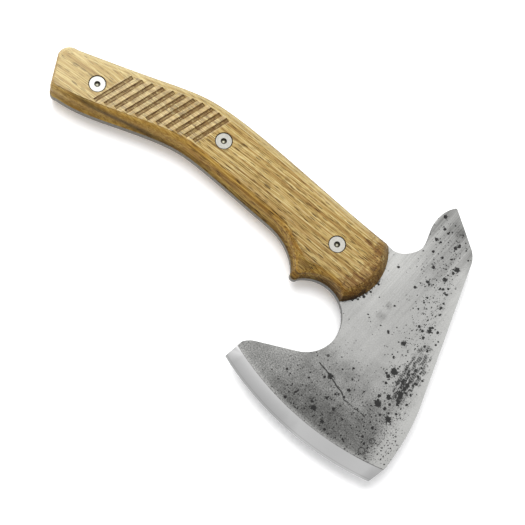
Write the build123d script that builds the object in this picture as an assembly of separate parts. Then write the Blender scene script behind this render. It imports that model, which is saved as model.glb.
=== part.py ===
"""Full-tang carving hatchet: forged steel head and tang, two wooden scales, three sleeve bolts.

Drawn lying on its side: X runs along the handle towards the head, Y towards the
spine (the horn side, with the cutting edge at -Y) and Z through the thickness.
The sketches are drawn about the front bolt's axis and the steel's mid-plane. The
finished pieces are then moved together, so that the origin is at the bottom
centre of the whole hatchet's box.
"""
import os
from math import asin, cos, degrees, radians, sin, sqrt

from build123d import *

os.makedirs("parts", exist_ok=True)

# ---------------------------------------------------------------- dimensions
STEEL_T = 5.0                # thickness of head and tang
SCALE_T = 9.0                # thickness of one wooden scale

EDGE_CENTRE = (47.6, 86.9)   # centre of the curved cutting edge
EDGE_R = 185.6               # radius of the cutting edge
BEVEL_W = 8.9                # width of the ground bevel in plan
EDGE_LAND = 0.1              # thickness left at the very edge
BEVEL_FROM = -120            # the grinding cutter's turn about the edge's centre, degrees
BEVEL_TURN = 60

ARCH_CENTRE = (12.9, -42.1)  # finger gap between guard and beard
ARCH_R = 21.7
BEARD_SLOPE = 27.5           # slope of the beard's upper side, degrees
GUARD_ANGLE = 142.0          # where the gap's circle meets the guard, degrees

FRONT_R = 32.0               # front end of the scales, round the front bolt
FRONT_LEAN = 5.6             # how far that end leans back over the scale's height
SPINE_ROUND = 6.2            # width of the rounding along the spine
BUTT_ROUND = 1.4             # width of the rounding at the butt
SLOPE_SCOOP = 5.8            # width of the hollowed side along the sloped belly
GRIP_SCOOP = 6.3             # and along the straight grip
ARCH_SCOOP = 5.2             # and over the finger gap
LIP = 0.36                   # share of the hollow taken by the lip at the steel
SHOULDER = 0.54              # and by the rounded shoulder at the flat
SECTIONS = (0, 0.08, 0.2, 0.42, 0.6, 0.7, 0.8, 0.91, 1)   # heights of the scale's sections

BOLTS = ((-166.4, -21.6), (-89.4, 2.5), (0.0, 0.0))
HEAD_D = 9.8                 # flush bolt heads
HEAD_H = 2.0
HEAD_CHAMFER = 0.25
HEAD_SINK = 0.45             # the heads sit this far below the wood
COUNTERBORE_D = 10.4
SLEEVE_D = 6.0               # outside of the barrel nut
SLEEVE_HOLE_D = 6.2
SLEEVE_GAP = 1.5             # from the sleeve's end to the screw's head
SHANK_D = 3.9                # M4 screw, drawn without its thread
SHANK_L = 12.0
BORE_D = 4.0                 # bore of the barrel nut
BORE_STOP = 1.0              # the bore ends this far from the nut's head
SOCKET_AF = 3.0              # hex socket across flats
SOCKET_DEPTH = 1.4
SOCKET_MOUTH = 0.3           # chamfer at the socket's mouth

GROOVES = 11                 # grip grooves across each scale
GROOVE_PITCH = 5.31          # along X
GROOVE_ANGLE = 75.5          # to the X axis, degrees
GROOVE_FIRST = (-155.0, -8.0)
GROOVE_W = 2.6
GROOVE_DEPTH = 0.6
GROOVE_L = 100.0             # long enough to cross the flat
GROOVE_STOP_LOW = 1.2        # the grooves stop this far short of the flat's belly side
GROOVE_STOP_HIGH = 0.6       # and of its spine side

CUTTER_L = 10.0              # length of a cutter that leaves through an open side

STEEL_TOP = STEEL_T / 2
SCALE_TOP = STEEL_TOP + SCALE_T

# Points of the handle's outline, from the head along the spine to the butt,
# then back along the belly to the guard.
SPINE_GRIP = ((-25, 21.9), (-72, 21.9), (-95, 20.8), (-114, 17.9))
SPINE_SLOPE = ((-128, 13.3), (-150, 4.2), (-170, -3.8))
BUTT_TOP = ((-190.3, -11.8), (-195.8, -14.7), (-197.0, -21.3))
BUTT_LOW = ((-185.7, -41.4), (-183.7, -42.7), (-180.2, -42.2))
BELLY_SLOPE = ((-165, -39.0), (-143, -30.5), (-122.5, -22.3))
BELLY_GRIP = ((-106, -17.6), (-88, -16.1), (-45, -15.9), (-31, -16.4), (-20, -19.9))
GUARD_START = (-9.6, -28.4)
GUARD_TIP = (-6.8, -31.1)
GUARD_TOP = -18.6            # Y at which the guard meets the flat of the scale
SPINE_Y = 22.3               # spine level at the head end

# How the wood's outline closes in from the steel to the flat.
DOWN = (0.0, -1.0)
SLOPE_IN = (0.38, -0.92)     # inwards from the spine where the handle slopes to the butt
BUTT_IN = (0.88, 0.47)       # inwards from the butt's face
BUTT_DOWN = (0.47, -0.88)    # along the butt's face, from the spine to the belly
BUTT_TOP_SLIDE = 0.96        # the butt's corners slide along its face by these shares
BUTT_LOW_SLIDE = 0.75        # of what the spine and the belly close in
GUARD_CROWN = 0.6            # how far the guard still bulges at the flat
GUARD_RIDGE = 0.6            # share of the height at which the guard's ridge lies
GUARD_STEP = 0.2             # and the share that its step up to the flat takes
FRONT_LOW = -45.0            # where the front end starts, degrees about the front bolt
FRONT_TURN = 5.0             # how far that start turns upwards by the flat

# Outline of the head, from the spine over the horn to the cutting edge.
NOTCH = (
    (24, 22.6), (29.5, 23.4), (34.5, 27.4), (38.4, 35.5),
    (36.8, 44.5), (34.1, 53), (34.7, 61.5), (37.7, 67.6),
)
HORN_TIP = ((38.5, 68.3), (39.7, 67.9))
HORN_CORNER = ((59.5, 55.6), (63.6, 52.4), (66.2, 48.4))
BACK_LOW = ((95.4, -34.0), (99.6, -47.0), (102.7, -63.0), (104.2, -79))
TOE = (101.7, -90.7)
HEEL = (-6.0, -90.7)
BEARD_CORNER = ((2.5, -72.4), (-1.4, -74.9), (-4.2, -78.3))


def on_circle(centre, radius, angle):
    """The point of a circle at an angle in degrees."""
    a = radians(angle)
    return (centre[0] + radius * cos(a), centre[1] + radius * sin(a))


def moved(points, *steps):
    """Points, all moved by the same steps, each a direction and a distance."""
    dx = sum(direction[0] * distance for direction, distance in steps)
    dy = sum(direction[1] * distance for direction, distance in steps)
    return [(x + dx, y + dy) for x, y in points]


# ---------------------------------------------------------------- wooden scales
def hollow_share(h):
    """How much of the belly's hollow is reached at a share h of the scale's height.

    A lip flares out at the steel, the side above it is steep, and a shoulder
    rounds over to the flat.
    """
    return LIP * (1 - (1 - h) ** 7) + (1 - LIP - SHOULDER) * h + SHOULDER * h ** 5


def guard_share(h):
    """The same for the guard: a slope at its tip, a low ridge, and a step up to the flat."""
    step = min(1.0, max(0.0, (h - GUARD_RIDGE) / GUARD_STEP))
    return 0.7 * h + 0.3 * step * step * (3 - 2 * step)


def scale_section(h):
    """Outline of a scale at a share h of its height, 0 at the steel and 1 at the flat."""
    spine_in = SPINE_ROUND * (1 - sqrt(1 - h * h))
    butt_in = BUTT_ROUND * max(0.0, h - 0.6) / 0.4
    share = hollow_share(h)
    slope_in = SLOPE_SCOOP * share
    grip_in = GRIP_SCOOP * share
    radius = FRONT_R - FRONT_LEAN * (0.7 * h + 0.3 * h ** 5)

    spine = moved(SPINE_GRIP, (DOWN, spine_in)) + moved(SPINE_SLOPE, (SLOPE_IN, spine_in))
    butt_top = moved(BUTT_TOP, (BUTT_IN, butt_in), (BUTT_DOWN, BUTT_TOP_SLIDE * spine_in))
    butt_low = moved(BUTT_LOW, (BUTT_IN, butt_in), (BUTT_DOWN, -BUTT_LOW_SLIDE * slope_in))
    belly = moved(BELLY_SLOPE, (SLOPE_IN, -slope_in)) + moved(BELLY_GRIP, (DOWN, -grip_in))

    # Towards the flat the guard sinks back into the line of the belly.
    tip = on_circle(ARCH_CENTRE, ARCH_R, GUARD_ANGLE)
    level = GUARD_TOP + GUARD_CROWN
    sunk = guard_share(h)
    guard = [(x, y + sunk * (level - y)) for x, y in (GUARD_START, GUARD_TIP, tip)]
    guard[1] = (guard[1][0], guard[1][1] - GUARD_CROWN * sunk)
    arch = on_circle(ARCH_CENTRE, ARCH_R, 95)
    arch = (arch[0], arch[1] + ARCH_SCOOP * share)
    low = FRONT_LOW + FRONT_TURN * share
    front_low = on_circle((0, 0), radius, low)
    high = degrees(asin((SPINE_Y - spine_in) / radius))
    front_high = on_circle((0, 0), radius, high)
    front_mid = on_circle((0, 0), radius, (low + high) / 2)

    edges = [
        Spline([front_high, *spine, butt_top[0]]),
        ThreePointArc(*butt_top),
        Line(butt_top[2], butt_low[0]),
        ThreePointArc(*butt_low),
        Spline([butt_low[2], *belly, guard[0]]),
        ThreePointArc(*guard),
        ThreePointArc(guard[2], arch, front_low),
        ThreePointArc(front_low, front_mid, front_high),
    ]
    return make_face(Pos(0, 0, STEEL_TOP + h * SCALE_T) * Wire(edges))


def front_scale():
    """The scale on the +Z side, with its bolt holes and grip grooves."""
    cutters = []
    for x, y in BOLTS:
        cutters.append(Pos(x, y, SCALE_TOP / 2) * Cylinder(SLEEVE_HOLE_D / 2, 2 * SCALE_T))
        floor = SCALE_TOP - HEAD_SINK - HEAD_H
        cutters.append(Pos(x, y, floor + CUTTER_L / 2) * Cylinder(COUNTERBORE_D / 2, CUTTER_L))
    # A round cutter of this radius leaves a groove of the given width and depth.
    cutter_r = (GROOVE_W ** 2 / 4 + GROOVE_DEPTH ** 2) / (2 * GROOVE_DEPTH)
    flat = scale_section(1)
    reach = on_circle((0, 0), GROOVE_L / 2, GROOVE_ANGLE)
    for i in range(GROOVES):
        x = GROOVE_FIRST[0] + i * GROOVE_PITCH
        y = GROOVE_FIRST[1]
        across = Line((x - reach[0], y - reach[1], SCALE_TOP), (x + reach[0], y + reach[1], SCALE_TOP))
        low, high = sorted((across & flat).vertices(), key=lambda end: end.Y)
        run = Line(Vector(low), Vector(high))
        length = run.length - GROOVE_STOP_LOW - GROOVE_STOP_HIGH
        middle = run.position_at((GROOVE_STOP_LOW + length / 2) / run.length)
        place = Pos(middle.X, middle.Y, SCALE_TOP - GROOVE_DEPTH + cutter_r)
        cutters.append(place * Rot(0, 0, GROOVE_ANGLE) * Rot(0, 90, 0) * Cylinder(cutter_r, length))
    return loft([scale_section(h) for h in SECTIONS]) - cutters


# ---------------------------------------------------------------- steel
def blade():
    """Head and tang in one flat piece, with the edge ground from both sides."""
    guard_end = on_circle(ARCH_CENTRE, ARCH_R, GUARD_ANGLE)
    beard_start = on_circle(ARCH_CENTRE, ARCH_R, BEARD_SLOPE - 90)
    edge_mid = (EDGE_CENTRE[0], EDGE_CENTRE[1] - EDGE_R)
    edges = [
        Spline(NOTCH),
        Spline([NOTCH[-1], HORN_TIP[0], HORN_TIP[1]]),
        Line(HORN_TIP[1], HORN_CORNER[0]),
        ThreePointArc(*HORN_CORNER),
        Line(HORN_CORNER[2], BACK_LOW[0]),
        Spline(BACK_LOW),
        Line(BACK_LOW[-1], TOE),
        ThreePointArc(TOE, edge_mid, HEEL),
        Line(HEEL, BEARD_CORNER[2]),
        ThreePointArc(*BEARD_CORNER),
        Line(BEARD_CORNER[0], beard_start),
        ThreePointArc(beard_start, on_circle(ARCH_CENTRE, ARCH_R, 40), guard_end),
        ThreePointArc(guard_end, GUARD_TIP, GUARD_START),
        Spline([GUARD_START, *reversed(BELLY_SLOPE + BELLY_GRIP), BUTT_LOW[2]]),
        ThreePointArc(*reversed(BUTT_LOW)),
        Line(BUTT_LOW[0], BUTT_TOP[2]),
        ThreePointArc(*reversed(BUTT_TOP)),
        Spline([BUTT_TOP[0], *reversed(SPINE_GRIP + SPINE_SLOPE), NOTCH[0]]),
    ]
    outline = make_face(Pos(0, 0, -STEEL_TOP) * Wire(edges))
    body = extrude(outline, STEEL_T, dir=(0, 0, 1))
    for x, y in BOLTS:
        body -= Pos(x, y, 0) * Cylinder(SLEEVE_HOLE_D / 2, 2 * STEEL_T)

    # The bevel is part of a cone about the edge's centre. Its cutter starts 1 mm
    # before the bevel's upper line and ends 4 mm past the edge.
    rise = (STEEL_TOP - EDGE_LAND / 2) / BEVEL_W
    start = radians(BEVEL_FROM)
    plane = Plane(
        origin=(EDGE_CENTRE[0], EDGE_CENTRE[1], 0),
        x_dir=(cos(start), sin(start), 0),
        z_dir=(sin(start), -cos(start), 0),
    )
    inner = EDGE_R - BEVEL_W - 1
    outer = EDGE_R + 4
    section = make_face(plane * Polyline(
        (inner, STEEL_TOP + rise),
        (EDGE_R, EDGE_LAND / 2),
        (outer, EDGE_LAND / 2),
        (outer, STEEL_TOP + rise),
        close=True,
    ))
    cutter = revolve(section, Axis((EDGE_CENTRE[0], EDGE_CENTRE[1], 0), (0, 0, 1)), BEVEL_TURN)
    body -= cutter
    body -= mirror(cutter, Plane.XY)
    return body


# ---------------------------------------------------------------- sleeve bolts
def socket(top):
    """Hex socket cutter opening upwards at a height."""
    hexagon = extrude(RegularPolygon(SOCKET_AF / 2, 6, major_radius=False), SOCKET_DEPTH + 1)
    mouth_r = SOCKET_AF / sqrt(3) + SOCKET_MOUTH / 2
    mouth = Pos(0, 0, top - SOCKET_MOUTH / 2) * Cone(mouth_r - SOCKET_MOUTH, mouth_r, SOCKET_MOUTH)
    return Pos(0, 0, top - SOCKET_DEPTH) * hexagon + mouth


def bolt_head(top):
    """Flat round head with a broken rim, its outer face at a height."""
    head = Pos(0, 0, top - HEAD_H / 2) * Cylinder(HEAD_D / 2, HEAD_H)
    rim = head.edges().filter_by(GeomType.CIRCLE).sort_by(Axis.Z)[-1]
    return chamfer(rim, HEAD_CHAMFER)


def screw():
    """Socket screw entering from the +Z side."""
    top = SCALE_TOP - HEAD_SINK
    body = bolt_head(top)
    body += Pos(0, 0, top - HEAD_H - SHANK_L / 2) * Cylinder(SHANK_D / 2, SHANK_L)
    return body - socket(top)


def barrel_nut():
    """Sleeve nut entering from the -Z side, drawn pointing up from its own head."""
    top = SCALE_TOP - HEAD_SINK
    length = 2 * (top - HEAD_H) - SLEEVE_GAP
    body = bolt_head(top)
    sleeve = Pos(0, 0, top - HEAD_H - length / 2) * Cylinder(SLEEVE_D / 2, length)
    bore_l = length - BORE_STOP
    bore = Pos(0, 0, top - HEAD_H - length + bore_l / 2) * Cylinder(BORE_D / 2, bore_l)
    body = body + sleeve - bore - socket(top)
    return Rot(180, 0, 0) * body


# ---------------------------------------------------------------- assembly
front = front_scale()
pieces = {
    "blade": blade(),
    "front_scale": front,
    "back_scale": mirror(front, Plane.XY),
}
for number, (x, y) in enumerate(BOLTS, start=1):
    pieces[f"screw_{number}"] = Pos(x, y, 0) * screw()
    pieces[f"barrel_nut_{number}"] = Pos(x, y, 0) * barrel_nut()

low_x = min(p.bounding_box().min.X for p in pieces.values())
high_x = max(p.bounding_box().max.X for p in pieces.values())
low_y = min(p.bounding_box().min.Y for p in pieces.values())
high_y = max(p.bounding_box().max.Y for p in pieces.values())
to_origin = Pos(-(low_x + high_x) / 2, -(low_y + high_y) / 2, SCALE_TOP)
print("front bolt at", to_origin.position, "box", high_x - low_x, high_y - low_y)
for name, piece in pieces.items():
    piece = to_origin * piece
    print(name, round(piece.volume, 1), piece.is_valid, len(piece.solids()), len(piece.faces()))
    export_step(piece, f"parts/{name}.step")
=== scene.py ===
"""Looks of the carving hatchet: materials for its nine pieces, floor, light and camera."""
from math import cos, radians, sin

import bpy
from mathutils import Matrix, Vector


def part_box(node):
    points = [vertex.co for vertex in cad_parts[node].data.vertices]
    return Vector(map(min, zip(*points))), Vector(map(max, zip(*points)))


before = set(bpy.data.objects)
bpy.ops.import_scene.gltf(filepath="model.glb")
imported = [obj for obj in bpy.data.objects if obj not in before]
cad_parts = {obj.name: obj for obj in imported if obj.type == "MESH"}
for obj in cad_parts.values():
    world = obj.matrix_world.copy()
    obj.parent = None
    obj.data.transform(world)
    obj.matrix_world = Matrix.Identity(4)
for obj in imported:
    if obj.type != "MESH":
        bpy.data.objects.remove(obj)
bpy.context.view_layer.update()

# ---------------------------------------------------------------- places
# Everything below is measured in mm from the front bolt's axis and the steel's
# mid-plane, so that the looks stay on the object if it moves in its frame.
MM = 0.001
steel_low, steel_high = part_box("blade")
bolt_low, bolt_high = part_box("screw_3")
ORIGIN = Vector((
    (bolt_low.x + bolt_high.x) / 2,
    (bolt_low.y + bolt_high.y) / 2,
    (steel_low.z + steel_high.z) / 2,
))
WOOD_TOP = (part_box("front_scale")[1].z - ORIGIN.z) / MM


def bolt_at(number):
    """Place of a bolt's axis in mm from the front bolt."""
    low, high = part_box(f"screw_{number}")
    return ((low.x + high.x) / 2 - ORIGIN.x) / MM, ((low.y + high.y) / 2 - ORIGIN.y) / MM


EDGE_CENTRE = (47.6, 86.9)   # centre of the curved cutting edge
BEVEL_R = 176.7              # radius of the bevel's upper line
HONE_R = 184.3               # radius of the hone's line on the bevel
WOOD_R = 32.0                # front end of the wood, round the front bolt
# The straight back of the head: a point on it and the direction out of the steel.
BACK_POINT = (66.2, 48.4)
BACK_OUT = (0.942, 0.334)
GROOVE_FIRST = (-155.0, -8.0)
GROOVE_PITCH = 5.31          # along X
GROOVE_ANGLE = 75.5
GROOVES = 11


# The light is strong enough to burn out the floor, so a colour needs only this
# share of the brightness that it shows.
SHARE = 0.70


def rgb(r, g, b):
    """A colour as it shows on a screen, 0 to 255, as Blender's linear colour."""
    def linear(c):
        c /= 255
        return SHARE * (c / 12.92 if c <= 0.04045 else ((c + 0.055) / 1.055) ** 2.4)
    return (linear(r), linear(g), linear(b), 1.0)


# ---------------------------------------------------------------- node trees
class Field:
    """A value in a material's node tree that can be used in sums."""

    def __init__(self, mat, socket):
        self.mat = mat
        self.socket = socket

    def op(self, operation, *others):
        return self.mat.math(operation, self, *others)

    def __add__(self, other):
        return self.op("ADD", other)

    __radd__ = __add__

    def __sub__(self, other):
        return self.op("SUBTRACT", other)

    def __rsub__(self, other):
        return self.mat.math("SUBTRACT", other, self)

    def __mul__(self, other):
        return self.op("MULTIPLY", other)

    __rmul__ = __mul__

    def __truediv__(self, other):
        return self.op("DIVIDE", other)

    def __abs__(self):
        return self.op("ABSOLUTE")


class Material:
    """A Principled material and the node tree that feeds it."""

    def __init__(self, name):
        self.material = bpy.data.materials.new(name)
        self.material.use_nodes = True
        self.tree = self.material.node_tree
        self.shader = self.tree.nodes["Principled BSDF"]

    def node(self, kind, **settings):
        node = self.tree.nodes.new(kind)
        for key, value in settings.items():
            setattr(node, key, value)
        return node

    def feed(self, entry, value):
        if isinstance(value, Field):
            self.tree.links.new(value.socket, entry)
        else:
            entry.default_value = value

    def math(self, operation, *values):
        node = self.node("ShaderNodeMath", operation=operation)
        for entry, value in zip(node.inputs, values):
            self.feed(entry, value)
        return Field(self, node.outputs[0])

    def clamp(self, value):
        node = self.node("ShaderNodeMath", operation="ADD", use_clamp=True)
        self.feed(node.inputs[0], value)
        node.inputs[1].default_value = 0
        return Field(self, node.outputs[0])

    def vector_math(self, operation, *values):
        node = self.node("ShaderNodeVectorMath", operation=operation)
        for entry, value in zip(node.inputs, values):
            self.feed(entry, value)
        name = "Value" if operation == "DISTANCE" else "Vector"
        return Field(self, node.outputs[name])

    def point(self):
        """Place on the object, in mm from the front bolt's axis."""
        place = Field(self, self.node("ShaderNodeTexCoord").outputs["Object"])
        moved = self.vector_math("SUBTRACT", place, tuple(ORIGIN))
        return self.vector_math("MULTIPLY", moved, (1 / MM,) * 3)

    def normal(self):
        return Field(self, self.node("ShaderNodeNewGeometry").outputs["Normal"])

    def split(self, vector):
        node = self.node("ShaderNodeSeparateXYZ")
        self.feed(node.inputs[0], vector)
        return [Field(self, output) for output in node.outputs]

    def distance(self, x, y):
        """Distance from the origin of x and y."""
        return self.math("SQRT", x * x + y * y)

    def from_axis(self, x, y, number):
        """Distance from the axis of a bolt."""
        bx, by = bolt_at(number)
        return self.math("SQRT", (x - bx) * (x - bx) + (y - by) * (y - by))

    def join(self, x, y, z):
        node = self.node("ShaderNodeCombineXYZ")
        for entry, value in zip(node.inputs, (x, y, z)):
            self.feed(entry, value)
        return Field(self, node.outputs[0])

    def stretch(self, vector, x, y, z):
        """The vector in units of x, y and z mm."""
        return self.vector_math("MULTIPLY", vector, (1 / x, 1 / y, 1 / z))

    def noise(self, vector, detail=2.0, roughness=0.5):
        node = self.node("ShaderNodeTexNoise", noise_dimensions="3D")
        self.feed(node.inputs["Vector"], vector)
        node.inputs["Scale"].default_value = 1
        node.inputs["Detail"].default_value = detail
        node.inputs["Roughness"].default_value = roughness
        return Field(self, node.outputs["Fac"])

    def cells(self, vector):
        """Distance to the nearest cell's point, and a random number for that cell."""
        node = self.node("ShaderNodeTexVoronoi", voronoi_dimensions="3D", feature="F1")
        self.feed(node.inputs["Vector"], vector)
        node.inputs["Scale"].default_value = 1
        node.inputs["Randomness"].default_value = 1
        colour = self.node("ShaderNodeSeparateColor")
        self.tree.links.new(node.outputs["Color"], colour.inputs[0])
        return Field(self, node.outputs["Distance"]), Field(self, colour.outputs[0])

    def fade(self, value, start, end, shape="SMOOTHSTEP"):
        """0 at start and 1 at end, smooth in between and clamped outside."""
        node = self.node("ShaderNodeMapRange", interpolation_type=shape)
        self.feed(node.inputs["Value"], value)
        self.feed(node.inputs["From Min"], start)
        self.feed(node.inputs["From Max"], end)
        return Field(self, node.outputs["Result"])

    def fade_linear(self, value, start, end):
        """The same in a straight line."""
        return self.fade(value, start, end, "LINEAR")

    def mix(self, share, a, b, blend="MIX"):
        node = self.node("ShaderNodeMix", data_type="RGBA", blend_type=blend, clamp_factor=True)
        self.feed(node.inputs["Factor"], share)
        first, second = [entry for entry in node.inputs if entry.type == "RGBA"]
        self.feed(first, a)
        self.feed(second, b)
        return Field(self, node.outputs[2])

    def shade(self, colour, factor):
        """The colour made lighter or darker by a factor."""
        node = self.node("ShaderNodeVectorMath", operation="SCALE")
        self.feed(node.inputs[0], colour)
        self.feed(node.inputs["Scale"], factor)
        return Field(self, node.outputs[0])

    def bump(self, height, depth, strength=1.0):
        """Surface relief of a height field that runs from 0 to 1, in mm."""
        node = self.node("ShaderNodeBump")
        node.inputs["Strength"].default_value = strength
        node.inputs["Distance"].default_value = depth * MM
        self.feed(node.inputs["Height"], height)
        self.feed(self.shader.inputs["Normal"], Field(self, node.outputs["Normal"]))

    def finish(self, **values):
        for name, value in values.items():
            self.feed(self.shader.inputs[name.replace("_", " ")], value)
        return self.material


# ---------------------------------------------------------------- wood
GRAIN_LEAN = 0.045           # rise of the grain over the handle's line
RING_PITCH = 4.7             # between year rings
BUTT_END = -195              # X where the wood is palest
SHOULDER = -95               # X where the grip bends up and its belly grows hollow
GUARD_PEAK = 9.3             # height of the guard's ridge over the steel's mid-plane
RIM_R = 5.15                 # painted shade, a thin dark line, starts here round each bolt
BURN_DEPTH = 0.07            # a groove is burnt from this depth on

WOOD_DARK = rgb(124, 93, 40)
WOOD_MID = rgb(178, 149, 83)
WOOD_PALE = rgb(217, 197, 139)
RING_BROWN = rgb(146, 102, 40)
PORE_BROWN = rgb(62, 40, 12)
BUTT_PALE = rgb(224, 210, 172)
# Painted highlight for the spine's rounding.
SPINE_HIGHLIGHT = rgb(218, 204, 156)
HOLLOW_SAND = rgb(176, 148, 84)
# Painted shade for the belly's hollow side.
HOLLOW_SHADE_TINT = (0.96, 0.75, 0.27, 1)
SCORCH_TINT = (0.50, 0.37, 0.22, 1)
CHARRED = rgb(50, 36, 20)
SPECK_BROWN = rgb(66, 44, 20)
GROOVE_BROWN = rgb(92, 64, 34)
RIDGE_PALE = rgb(212, 196, 162)
# Painted shade round the bolts' counterbores.
RIM_SHADE = rgb(80, 60, 32)


def wood_material():
    m = Material("oiled_wood")
    p = m.point()
    x, y, z = m.split(p)
    height = abs(z)
    depth = WOOD_TOP - height
    nx, ny, _ = m.split(m.normal())
    radius = m.distance(x, y)
    ragged = m.noise(m.stretch(p, 1.6, 1.6, 1.6), 3, 0.65)
    blotch = m.noise(m.stretch(p, 6.0, 6.0, 6.0), 3, 0.55)

    # The grain leans a little from the handle's line and wanders.
    wander = (m.noise(m.stretch(p, 110, 40, 40), 1) - 0.5) * 9
    v = y - x * GRAIN_LEAN + wander
    grain = m.join(x, v, z)
    band = m.fade(m.noise(m.stretch(grain, 90, 3.2, 3.2), 2), 0.36, 0.64)
    streak = m.fade(m.noise(m.stretch(grain, 55, 1.15, 1.15), 3, 0.65), 0.39, 0.61)
    fibre = m.fade(m.noise(m.stretch(grain, 16, 0.5, 0.5), 3, 0.7), 0.39, 0.61)
    tone = band * 0.18 + streak * 0.40 + fibre * 0.42
    colour = m.mix(m.fade(tone, 0.08, 0.52), WOOD_DARK, WOOD_MID)
    colour = m.mix(m.fade(tone, 0.48, 0.94), colour, WOOD_PALE)

    # Year rings: a golden-brown line on one side of each, fading out.
    ring = m.math("FRACT", v / RING_PITCH + z * 0.06 + (band - 0.5) * 0.3)
    line = m.fade(ring, 0.0, 0.10) * m.fade(ring, 0.55, 0.12)
    colour = m.mix(line * 0.42, colour, RING_BROWN)

    # Pores: short dark dashes along the grain, and a few longer ones.
    near, chance = m.cells(m.stretch(grain, 6.5, 0.55, 0.75))
    dash = m.fade(near, 0.42, 0.27) * m.fade(chance, 0.40, 0.60)
    near, chance = m.cells(m.stretch(grain, 9.5, 0.85, 0.85))
    long_dash = m.fade(near, 0.30, 0.18) * m.fade(chance, 0.35, 0.5)
    pores = m.clamp(dash * 0.66 + long_dash * 0.95)
    colour = m.mix(pores, colour, PORE_BROWN)

    # Paler towards the butt. Painted light too: a highlight along the spine, which faces the
    # light, and painted shade in the belly's hollow, which faces away from it.
    hollow = m.fade(ny, -0.08, -0.5) * m.fade(x, 40, 30) * (0.4 + 0.6 * m.fade(x, -190, -165))
    butt = m.fade(x, SHOULDER, BUTT_END) * (1 - hollow)
    colour = m.mix(butt * 0.26, colour, BUTT_PALE)
    colour = m.shade(colour, 1 + butt * 0.05)
    # Painted highlight on the spine's rounding, then painted shade on its steepest part.
    spine = m.fade(ny, 0.08, 0.4) * m.fade(ny, 0.97, 0.6)
    colour = m.mix(spine * 0.42, colour, SPINE_HIGHLIGHT)
    colour = m.shade(colour, 1 - m.fade(ny, 0.55, 0.95) * 0.3)
    # Painted shade in the hollow. Near the butt it is darker lower down and its grain is evened
    # out, and all of it gets a darker, warmer tint.
    smooth = hollow * m.fade(x, SHOULDER, SHOULDER - 30)
    colour = m.mix(smooth * 0.5, colour, HOLLOW_SAND)
    colour = m.mix(hollow * 0.75, colour, HOLLOW_SHADE_TINT, "MULTIPLY")
    colour = m.shade(colour, 1 - smooth * (0.10 + 0.16 * m.fade(height, 8.5, 4)))
    # Painted shade: the hollow is darkest along a line that drops from the flat to the steel.
    valley = m.fade_linear(x, -120, -170) * 9.2 + 2.2
    from_valley = abs(height - valley + (blotch - 0.5) * 1.5)
    dark_line = hollow * m.fade(from_valley, 2.9, 0.1) * m.fade(x, -182, -166)
    colour = m.shade(colour, 1 - dark_line * 0.62)
    colour = m.shade(colour, 1 - m.fade(y, 6, -8) * m.fade(x, SHOULDER, SHOULDER + 35) * 0.08)
    # Painted shade on the finger gap's wall, deepest near the steel, and on the small facets of
    # the guard beside it.
    arch = m.fade(ny, 0.0, -0.4) * m.fade(x, -20, -6) * m.fade(x, 30, 20)
    guard = m.fade(x, 2, -3)
    facets = m.fade(abs(height - GUARD_PEAK), 2.2, 0.2) * 0.42 + m.fade(height, 7.6, 6.4) * 0.30
    colour = m.shade(colour, 1 - arch * (1 - guard) * (0.08 + 0.34 * m.fade(height, 9, 3)))
    colour = m.shade(colour, 1 - arch * guard * facets)

    # Scorched front end: ragged brown patches, black in places at the steel.
    front = m.fade(x, 2, 14) * (1 - 0.5 * arch)
    stripes = m.noise(m.stretch(grain, 9, 1.5, 1.5), 3, 0.6)
    heat = radius * 0.055 + (blotch - 0.5) * 1.9 + (stripes - 0.5) * 1.9 + (ragged - 0.5) * 0.7
    scorch = m.fade(heat, 0.92, 1.40) * front
    colour = m.mix(scorch * 0.9, colour, SCORCH_TINT, "MULTIPLY")
    low_side = m.fade(y, 4, -22)
    reach = radius + (ragged - 0.5) * 5 + (blotch - 0.5) * 12 + low_side * 3.0
    charred = m.fade(reach, WOOD_R - 0.5, WOOD_R + 2.5)
    colour = m.mix(charred * front * 0.9, colour, CHARRED)
    near, chance = m.cells(m.stretch(grain, 2.0, 1.3, 1.3))
    specks = m.fade(near, 0.42, 0.25) * m.fade(chance, 0.55, 0.7) * m.fade(radius, 16, 25) * front
    colour = m.mix(specks * 0.7, colour, SPECK_BROWN)

    # Grooves: burnt across their width, darkest along both sides. The ridges
    # between them are scraped along the same direction.
    lean = radians(GROOVE_ANGLE)
    gx, gy = x - GROOVE_FIRST[0], y - GROOVE_FIRST[1]
    across = gx * sin(lean) - gy * cos(lean)
    along = gx * cos(lean) + gy * sin(lean)
    pitch = GROOVE_PITCH * sin(lean)
    last = (GROOVES - 1) * pitch
    turn = m.math("FRACT", across / pitch + 0.5) - 0.5
    off = abs(turn) * pitch + (ragged - 0.5) * 1.8 + (blotch - 0.5) * 1.0
    row = m.fade(across, -2.4, -1.6) * m.fade(across, last + 2.4, last + 1.6)
    # A groove's walls don't face along it, as the rounded spine and the belly do.
    facing = abs(nx * cos(lean) + ny * sin(lean))
    cut = m.fade(depth, 0.0, BURN_DEPTH) * m.fade(depth, 1.0, 0.7) * m.fade(facing, 0.10, 0.03)
    scraped = m.noise(m.join(across * 1.9, along * 0.24, z), 3, 0.65)
    burnt = m.fade(off, 2.0, 1.4) * (0.6 + 0.4 * m.fade(off, 0.2, 0.9)) * row * cut
    colour = m.mix(m.clamp(burnt * (0.88 + (scraped - 0.5) * 2.6)), colour, GROOVE_BROWN)
    ridge = row * m.fade(off, 1.2, 1.8) * m.fade(depth, 0.10, 0.02)
    colour = m.mix(ridge * 0.30, colour, RIDGE_PALE)
    colour = m.shade(colour, 1 + ridge * ((scraped - 0.5) * 2.0 + (blotch - 0.5) * 0.9))

    # Painted shade: a thin dark line round each bolt's counterbore, in the gap beside the head.
    for number in (1, 2, 3):
        far = m.from_axis(x, y, number)
        colour = m.mix(m.fade(far, RIM_R + 0.35, RIM_R) * 0.7, colour, RIM_SHADE)

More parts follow.
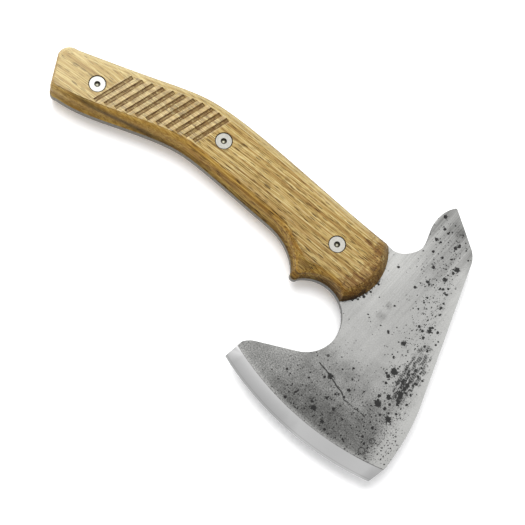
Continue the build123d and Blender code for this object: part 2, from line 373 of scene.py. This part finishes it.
    relief = fibre * 0.3 + streak * 0.3 + (1 - pores) * 0.5 + (ragged - 0.5) * 0.6 * burnt
    m.bump(relief, 0.12, 0.8)
    rough = 0.48 + 0.12 * (1 - tone) + 0.16 * pores + 0.12 * burnt
    return m.finish(Base_Color=colour, Roughness=rough, Specular_IOR_Level=0.2)


# ---------------------------------------------------------------- steel
# The larger forge pits on the head: X, Y and radius in mm.
PITS = (
    (36.7, 60, 1.0), (41.4, 45.3, 1.1), (51.8, 58, 0.5), (54.3, 51.4, 1.1), (53.3, 48.7, 0.9),
    (59.1, 52, 0.5), (63.8, 48, 0.5), (56.1, 42, 0.6), (62.3, 39, 1.5), (61.9, 36, 0.8),
    (50.7, 30.8, 1.1), (60.6, 29.6, 1.2), (65.6, 26.7, 0.6), (61.9, 23.5, 0.6), (53.9, 21.6, 0.9),
    (55.5, 21, 0.7), (66, 23, 0.5), (50.3, 14, 0.7), (59.6, 14.1, 0.6), (60, 10.6, 0.5),
    (63.4, 8.4, 0.7), (60, 5.3, 0.6), (69, 17.7, 0.6), (69.5, 14.8, 0.8), (71.8, 11.3, 0.9),
    (72.2, 1, 1.0), (73.4, -0.6, 1.2), (70, -3.4, 0.9), (73, -6, 0.8), (77.4, 2, 0.7),
    (80.9, -2, 0.6), (81, -4.3, 0.6), (55.4, -17.3, 0.9), (66.4, -16.3, 1.4), (71.1, -18, 0.6),
    (67.1, -26.6, 0.7), (48.3, -2.7, 0.5), (35.4, 16.8, 0.4), (33.4, 0.8, 0.6), (32.4, -6.0, 0.8),
    (31.2, -10.6, 0.7), (29.8, -14.2, 0.5), (73, -33, 1.9), (72, -37, 1.1), (53.9, -47.3, 0.6),
    (79.7, -46.3, 1.4), (75, -49.4, 1.1), (77.4, -53.6, 2.0), (82.4, -53, 0.8), (87.6, -56.4, 2.1),
    (83.5, -40, 1.5), (85.5, -45, 1.2), (60, -58.4, 1.1), (46.9, -59.7, 1.6), (55.7, -65.6, 0.7),
    (53.3, -70.4, 1.0), (60.6, -73, 1.0), (67.9, -74, 0.7), (51.4, -80, 1.7), (48, -77.6, 0.9),
    (60, -82.6, 1.0), (75.4, -82.6, 0.7), (84, -66, 0.8), (83.6, -34, 1.2), (84.4, -42, 1.2),
    (88.4, -37, 0.8), (86.8, -30, 1.0), (81.6, -24, 0.8), (83.4, -20.5, 0.7), (85.2, -26, 0.8),
    (88.6, -26, 0.6), (81.4, -37.6, 0.7), (86.2, -46.6, 0.7), (90.4, -43, 0.6), (85.6, -38, 0.8),
)
RING_MARKS = ((87.6, -80.4, 1.9), (88.6, -72.3, 1.5))
SMUDGES = ((44.5, -5.5, 3.2), (47, -13, 4.2), (47.5, 58, 6.0))
SPECKLED = (96.5, -67)       # middle of a patch of specks near the toe
SPECKLED_SIZE = (6, 9)       # its half sizes
LADDER = (81.4, -28)         # middle of the cluster of ladder-like marks
LADDER_SIZE = (6.6, 19)      # its half sizes
LADDER_COLUMN = 3.1          # between its columns
LADDER_RUNG = 1.25           # between its rungs
# The hairline seam, from its left end.
SEAM = ((37, -57.7), (46.9, -59.6), (58.6, -63), (61.4, -64.9), (77, -64.4))


STEEL_BRIGHT = rgb(166, 166, 164)
STEEL_DARK = rgb(92, 92, 90)
PIT_BLACK = rgb(36, 36, 35)
OILED_SIDE = rgb(122, 114, 96)
BEVEL_GREY = rgb(206, 206, 206)
LINE_GREY = rgb(70, 70, 70)


def steel_material():
    m = Material("forged_steel")
    p = m.point()
    x, y, z = m.split(p)
    nz = m.split(m.normal())[2]
    # The far side has the same kinds of marks in other places.
    far_side = m.fade(z, 0.5, -0.5)
    flat = m.join(x + far_side * 5.5, y + far_side * 8.5, far_side * 40)
    sx, sy, _ = m.split(flat)
    spot = m.join(sx, sy, 0.0)

    fine = m.noise(m.stretch(flat, 0.75, 0.75, 1), 3, 0.65)
    mottle = m.noise(m.stretch(flat, 5, 5, 1), 4, 0.62)
    cloud = m.noise(m.stretch(flat, 24, 20, 1), 3, 0.5)
    drawn = m.noise(m.stretch(flat, 0.8, 40, 1), 3, 0.6)
    drawn_wide = m.noise(m.stretch(flat, 3.0, 70, 1), 2)
    ragged = m.noise(m.stretch(flat, 1.5, 1.5, 1), 4, 0.75)

    # Radius about the cutting edge's centre, which grows towards the edge.
    ex, ey = x - EDGE_CENTRE[0], y - EDGE_CENTRE[1]
    radius = m.distance(ex, ey)
    bevel = m.fade(radius, BEVEL_R - 0.15, BEVEL_R + 0.15) * m.fade(y, -60, -70)
    # Distance past the head's straight back.
    back = (x - BACK_POINT[0]) * BACK_OUT[0] + (y - BACK_POINT[1]) * BACK_OUT[1]
    clean_w = 3.5 + 11.5 * m.fade(y, -30, -78)
    back_edge = m.fade(back + (mottle - 0.5) * 13 + (fine - 0.5) * 3 + clean_w, -7.0, 4.5)
    back_edge = back_edge * m.fade(y, 50, 38)

    # Forge patina: clean in the middle, darker towards the bevel and the horn.
    low = m.fade(radius + (cloud - 0.5) * 44, 116, 174) * (0.55 + 0.45 * m.fade(x, 12, 38))
    near_bevel = m.fade(radius + (mottle - 0.5) * 3, BEVEL_R - 0.6, BEVEL_R - 3.2)
    low = low * m.fade(x, -30, -12) * (0.45 + 0.55 * near_bevel)
    low = low * (1 - back_edge) * (1 - 0.16 * m.fade(x, 68, 88))
    horn = m.fade(y + (cloud - 0.5) * 16, 14, 62)
    patina = low * 0.80 + horn * 0.34 + (cloud - 0.5) * 0.25 + (mottle - 0.5) * (0.16 + 0.5 * low)
    upper = m.fade(y, -25, 10)
    patina = patina + (drawn - 0.5) * (0.2 + 0.4 * upper + 0.7 * horn)
    patina = patina + (drawn_wide - 0.5) * (0.2 + 0.3 * upper + 0.5 * horn)
    for px, py, pr in SMUDGES:
        gap = m.vector_math("DISTANCE", spot, (px, py, 0.0))
        patina = patina + m.fade(gap + (mottle - 0.5) * 11, pr, pr * 0.3) * 0.24
    patina = m.clamp((patina + 0.04) * (1 - back_edge * 0.8))
    colour = m.mix(patina, STEEL_BRIGHT, STEEL_DARK)
    bright = 1 + back_edge * (0.20 - 0.12 * m.fade(y, -40, -75))
    bright = bright + m.fade(x, 50, 30) * m.fade(y, -25, -5) * 0.20
    bright = bright - m.fade(abs(y), 45, 10) * m.fade(abs(x - 54), 14, 5) * 0.05
    grain = m.fade(radius, 120, 160) * (1 - back_edge)
    colour = m.shade(colour, bright + (fine - 0.5) * (0.6 + 2.2 * grain))

    # Larger pits, each with ragged edges and a few specks round it.
    nearest = None
    for px, py, pr in PITS:
        gap = m.vector_math("DISTANCE", spot, (px, py, 0.0)) / pr
        nearest = gap if nearest is None else m.math("MINIMUM", nearest, gap)
    pits = m.fade(nearest + (ragged - 0.5) * 3.4 + (mottle - 0.5) * 1.8, 1.15, 0.85)
    crowd_round = m.fade(nearest, 3.2, 1.2) * 0.5

    # Specks in a band along the back and over the lower half.
    band = m.fade(back + (cloud - 0.5) * 12, -31, -16) * m.fade(back, -2.0, -7.0)
    crowd = 0.07 + 0.52 * band + 0.58 * low * m.fade(x, 5, 40) + 0.10 * horn
    at_back = m.fade(back, -1.5, -4.0) * m.fade(y, -45, -60) * band
    crowd = crowd * (1 - 0.85 * back_edge) + 0.34 * at_back
    middle = tuple(place / size for place, size in zip(SPECKLED, SPECKLED_SIZE))
    gap = m.vector_math("DISTANCE", m.stretch(spot, *SPECKLED_SIZE, 1), (*middle, 0.0))
    crowd = crowd + 0.62 * m.fade(gap + (mottle - 0.5) * 1.6, 1.1, 0.5)
    crowd = m.clamp(crowd + crowd_round) * m.fade(y, 64, 54)
    shift = m.vector_math("ADD", flat, m.join((ragged - 0.5) * 1.2, (fine - 0.5) * 1.2, 0.0))
    for size, most, dark in ((0.95, 0.8, 0.8), (1.6, 0.62, 1.0), (3.2, 0.36, 1.0)):
        near, chance = m.cells(m.stretch(shift, size, size, 1))
        keep = m.fade(chance, 1.0 - crowd * most, 1.03 - crowd * most * 0.8)
        pits = m.math("MAXIMUM", pits, m.fade(near, 0.31, 0.23) * keep * dark)

    # A cluster of ladder-like marks near the back, breaking up downwards.
    cx, cy = sx - LADDER[0] + (sy + 26) * 0.12, sy - LADDER[1]
    wide, tall = LADDER_SIZE
    reach = m.math("SQRT", (cx / wide) * (cx / wide) + (cy / tall) * (cy / tall))
    inside = m.fade(reach + (mottle - 0.5) * 1.9 + (ragged - 0.5) * 0.5, 1.05, 0.85)
    place = (cx + (mottle - 0.5) * 4.0) / LADDER_COLUMN
    column = m.fade(abs(m.math("FRACT", place) - 0.5), 0.44, 0.34)
    rung_at = cy / LADDER_RUNG + m.math("FLOOR", place) * 0.37 + (ragged - 0.5) * 1.6
    rung = m.fade(abs(m.math("FRACT", rung_at) - 0.5), 0.08, 0.24)
    downwards = m.fade(cy, 10, -10)
    broken = m.fade(ragged * 0.5 + mottle * 0.5, 0.54 - 0.07 * downwards, 0.58 - 0.07 * downwards)
    kept = m.fade(m.noise(m.stretch(flat, 2.4, 4.6, 1), 2), 0.40, 0.50)
    ladder = column * (0.14 + 0.62 * rung * kept) + broken * kept * (0.4 + 0.6 * column)
    ladder = inside * m.clamp(ladder)
    pits = m.math("MAXIMUM", pits, ladder)

    # A hairline seam across the lower half, dotted towards its right end.
    seam = None
    for (ax, ay), (bx, by) in zip(SEAM, SEAM[1:]):
        run = m.fade_linear(sx, ax, bx)
        line_y = run * (by - ay) + ay
        gap = abs(sy - line_y + (mottle - 0.5) * 1.6 + (ragged - 0.5) * 1.6)
        ends = m.fade(sx, ax - 0.3, ax + 0.1) * m.fade(sx, bx + 0.3, bx - 0.1)
        piece = m.fade(gap, 0.52, 0.16) * ends
        seam = piece if seam is None else m.math("MAXIMUM", seam, piece)
    seam = seam * (1 - m.fade(sx, 58, 63) * m.fade(ragged, 0.48, 0.54))
    pits = m.math("MAXIMUM", pits, seam * 0.96)
    for px, py, pr in RING_MARKS:
        gap = m.vector_math("DISTANCE", spot, (px, py, 0.0)) + (ragged - 0.5) * 1.2
        pits = m.math("MAXIMUM", pits, m.fade(abs(gap - pr), 0.5, 0.15) * 0.6)

    # Black residue in front of the wood's lower end.
    from_bolt = m.distance(x, y)
    residue = m.fade(from_bolt + (ragged - 0.5) * 7, WOOD_R + 0.4, WOOD_R)
    residue = residue * m.fade(y, 6, 0) * m.fade(y, -27, -17)
    pits = m.math("MAXIMUM", pits, residue * m.fade(from_bolt, WOOD_R + 2.5, WOOD_R + 1.0))

    face = m.fade(abs(nz), 0.9, 0.985)
    pits = pits * face * (1 - bevel)
    colour = m.mix(pits * 0.97, colour, PIT_BLACK)

    # Painted shade darkens the sides; along the handle they are also browned by oil.
    side = m.fade(abs(nz), 0.7, 0.3)
    colour = m.shade(colour, 1 - side * 0.42)
    colour = m.mix(side * m.fade(x, 10, -20) * 0.5, colour, OILED_SIDE)

    # The bevel is ground bright, with a thin dark line above it.
    ground = m.noise(m.stretch(m.join(radius, x, far_side * 9), 0.5, 30, 1), 2)
    colour = m.mix(bevel, colour, BEVEL_GREY)
    # Painted highlight: the bevel is lightened towards the toe, where its reflection renders
    # darker.
    colour = m.shade(colour, 1 + bevel * m.fade(x, 72, 100) * 0.14)
    line = m.fade(abs(radius - BEVEL_R + 0.2), 0.42, 0.1)
    line = line * (0.15 + 0.45 * m.fade(x, 82, 94)) * face
    colour = m.mix(line, colour, LINE_GREY)
    hone = m.fade(abs(radius - HONE_R), 0.35, 0.1) * bevel
    colour = m.shade(colour, 1 - hone * 0.16)

    relief = 1 - pits + (mottle - 0.5) * 0.25 * low + (drawn - 0.5) * 0.12 * (1 - bevel)
    m.bump(relief, 0.12, 0.7)
    rough = 0.56 + 0.12 * patina + 0.3 * pits - 0.06 * bevel + (ground - 0.5) * 0.1 * bevel
    return m.finish(Base_Color=colour, Roughness=rough, Metallic=m.clamp(1 - pits * 0.7))


# ---------------------------------------------------------------- bolts
SOCKET_R = 1.95              # the dirt and painted shade in the socket end here
HEAD_R = 4.75                # the painted highlight on the head's rim starts inside this
# Each bolt's tone is a painted sheen: how bright its head shows in the light.
BOLT_SHEEN_TONES = (rgb(214, 213, 208), rgb(172, 171, 164), rgb(186, 184, 177))
BOLT_GREY = rgb(130, 128, 122)
# Dirt and painted shade in the socket, and a painted glint on its floor.
SOCKET_DIRT_AND_SHADE = rgb(58, 52, 36)
SOCKET_GLINT = rgb(200, 198, 176)
# Painted highlight on the head's rim.
HEAD_RIM_HIGHLIGHT = rgb(236, 235, 230)


def bolt_material(number, tone):
    m = Material(f"turned_bolt_{number}")
    x, y, z = m.split(m.point())
    far = m.from_axis(x, y, number)
    rings = m.noise(m.join(far * 6.0, z * 0.5, 0.0), 2, 0.6)
    grime = m.noise(m.stretch(m.point(), 1.2, 1.2, 1.2), 3, 0.6)
    colour = m.mix(m.clamp(rings * 0.4 + grime * 0.3 - 0.15), tone, BOLT_GREY)
    # The socket holds dark dirt and painted shade, with a painted glint on its floor.
    colour = m.mix(m.fade(far, SOCKET_R, SOCKET_R - 0.35) * 0.92, colour, SOCKET_DIRT_AND_SHADE)
    glint = m.fade(far + (grime - 0.5) * 1.6, 0.85, 0.35)
    colour = m.mix(glint * 0.8, colour, SOCKET_GLINT)
    # Painted highlight on the head's rim.
    colour = m.mix(m.fade(far, HEAD_R - 0.3, HEAD_R) * 0.3, colour, HEAD_RIM_HIGHLIGHT)
    m.bump(rings, 0.02, 0.5)
    return m.finish(Base_Color=colour, Roughness=0.5 + 0.14 * grime, Metallic=1.0)


STEEL_EDGE = 0.25            # broken edge of the steel


def dress(name, material, soften=0.0):
    """Gives a CAD node its material and, where asked, a small broken edge."""
    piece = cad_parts[name]
    piece.data.materials.clear()
    piece.data.materials.append(material)
    if soften:
        weld = piece.modifiers.new("weld", "WELD")
        weld.merge_threshold = 1e-6
        edge = piece.modifiers.new("broken_edge", "BEVEL")
        edge.width = soften * MM
        edge.segments = 2
        edge.limit_method = "ANGLE"
        edge.angle_limit = radians(35)
        edge.harden_normals = True


wood = wood_material()
for name in ("front_scale", "back_scale"):
    dress(name, wood)
dress("blade", steel_material(), STEEL_EDGE)
for number, tone in enumerate(BOLT_SHEEN_TONES, start=1):
    metal = bolt_material(number, tone)
    dress(f"screw_{number}", metal)
    dress(f"barrel_nut_{number}", metal)

# ---------------------------------------------------------------- floor
floor_mesh = bpy.data.meshes.new("floor")
half = 4.0
drop = -0.05 * MM            # a hair under the object, so that their faces don't meet
corners = [(-half, -half, drop), (half, -half, drop), (half, half, drop), (-half, half, drop)]
floor_mesh.from_pydata(corners, [], [(0, 1, 2, 3)])
floor = bpy.data.objects.new("floor", floor_mesh)
bpy.context.scene.collection.objects.link(floor)
paper = Material("white_paper")
paper.finish(
    Base_Color=(0.93, 0.93, 0.935, 1), Roughness=1.0, Specular_IOR_Level=0.0,
    Emission_Color=(1, 1, 1, 1), Emission_Strength=0.17,
)
floor_mesh.materials.append(paper.material)

# ---------------------------------------------------------------- light
SKY = 0.71

world = bpy.data.worlds.new("studio")
bpy.context.scene.world = world
world.use_nodes = True
sky = world.node_tree.nodes["Background"]
sky.inputs["Color"].default_value = (1, 1, 1, 1)
sky.inputs["Strength"].default_value = SKY

def softbox(name, towards, distance, size, power):
    """An area light that looks at the frame's origin from a direction."""
    data = bpy.data.lights.new(name, "AREA")
    data.shape = "DISK"
    data.size = size
    data.energy = power
    lamp = bpy.data.objects.new(name, data)
    direction = Vector(towards).normalized()
    lamp.location = direction * distance
    lamp.rotation_mode = "QUATERNION"
    lamp.rotation_quaternion = direction.to_track_quat("Z", "Y")
    bpy.context.scene.collection.objects.link(lamp)


softbox("key", (-0.34, 0.25, 1.0), distance=1.3, size=1.15, power=17.8)
softbox("fill", (-1.15, 0.9, 0.75), distance=1.6, size=0.6, power=8.5)

# ---------------------------------------------------------------- camera
# It stands 0.9 m off, leans 16 degrees from straight above towards -Y, and is
# rolled so that the handle runs down to the right.
AIM = ORIGIN + Vector((-25.87, -34.51, 0)) * MM
DISTANCE = 0.9
LEAN = radians(16)
LEAN_SIDE = radians(-75)
ROLL = radians(41)
LENS = 106.4

toward = Vector((sin(LEAN) * cos(LEAN_SIDE), sin(LEAN) * sin(LEAN_SIDE), cos(LEAN)))
along = (Vector((1, 0, 0)) - toward * toward.x).normalized()
across = toward.cross(along)
right = cos(ROLL) * along + sin(ROLL) * across
up = -sin(ROLL) * along + cos(ROLL) * across
camera_data = bpy.data.cameras.new("camera")
camera_data.lens = LENS
camera_data.sensor_width = 36
camera = bpy.data.objects.new("camera", camera_data)
turn = Matrix((right, up, toward)).transposed().to_4x4()
camera.matrix_world = Matrix.Translation(AIM + toward * DISTANCE) @ turn
bpy.context.scene.collection.objects.link(camera)
bpy.context.scene.camera = camera
bpy.context.scene.view_settings.view_transform = "Standard"
bpy.context.scene.view_settings.look = "None"
